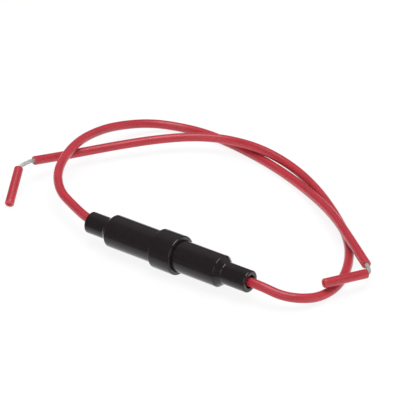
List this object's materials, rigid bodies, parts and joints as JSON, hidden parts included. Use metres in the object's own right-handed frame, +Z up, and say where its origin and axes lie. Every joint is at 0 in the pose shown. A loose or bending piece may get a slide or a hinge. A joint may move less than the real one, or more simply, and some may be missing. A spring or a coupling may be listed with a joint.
{
  "type": "in-line fuse holder",
  "caption": "Round two-part in-line holder for a glass fuse: a collar half and a plug half that screw together, with a red insulated lead from each end.",
  "frame": {"origin": "on the floor, under the middle of the two screwed halves, which lie on the collar", "axes": "+X along the holder from the collar half to the plug half, +Z up, +Y towards the side on which the leads are looped"},
  "size_m": [0.1388, 0.0926, 0.0135],
  "materials": {
    "black_plastic": "smooth moulded, glossy black",
    "red_insulation": "soft satin vinyl",
    "tinned_copper": "tinned copper strands",
    "contact_metal": "plated brass, satin",
    "cap_metal": "nickel plated, bright",
    "fuse_glass": "clear",
    "solder": "dull solder",
    "element_metal": "fine wire",
    "spring_steel": "plated spring wire"
  },
  "bodies": {
    "holder": {"collar_half": "black_plastic", "collar_side_contact": "contact_metal", "plug_side_contact": "contact_metal", "fuse_glass_tube": "fuse_glass", "collar_end_fuse_cap": "cap_metal", "plug_end_fuse_cap": "cap_metal", "collar_end_solder": "solder", "plug_end_solder": "solder", "fuse_element": "element_metal", "collar_lead_insulation": "red_insulation", "collar_lead_conductor_tail": "tinned_copper", "collar_lead_bare_strands": "tinned_copper", "collar_lead_insulation_slug": "red_insulation", "plug_lead_insulation": "red_insulation", "plug_lead_conductor_tail": "tinned_copper", "plug_lead_bare_strands": "tinned_copper", "plug_lead_insulation_slug": "red_insulation"},
    "spring": {"contact_spring": "spring_steel"},
    "plug": {"plug_half": "black_plastic"}
  },
  "joints": [
    {"name": "plug_travel", "type": "slide", "parent": "holder", "child": "spring", "axis": [1, 0, 0], "range_m": [0, 0.00525], "deforming": ["contact_spring"]},
    {"name": "plug_turn", "type": "hinge", "parent": "spring", "child": "plug", "pos_m": [0, 0, 0.00675], "axis": [1, 0, 0], "range_deg": [0, 1320]}
  ],
  "couplings": [
    {"joint": "plug_turn", "follows": "plug_travel", "rad_per_m": 4188.8}
  ]
}
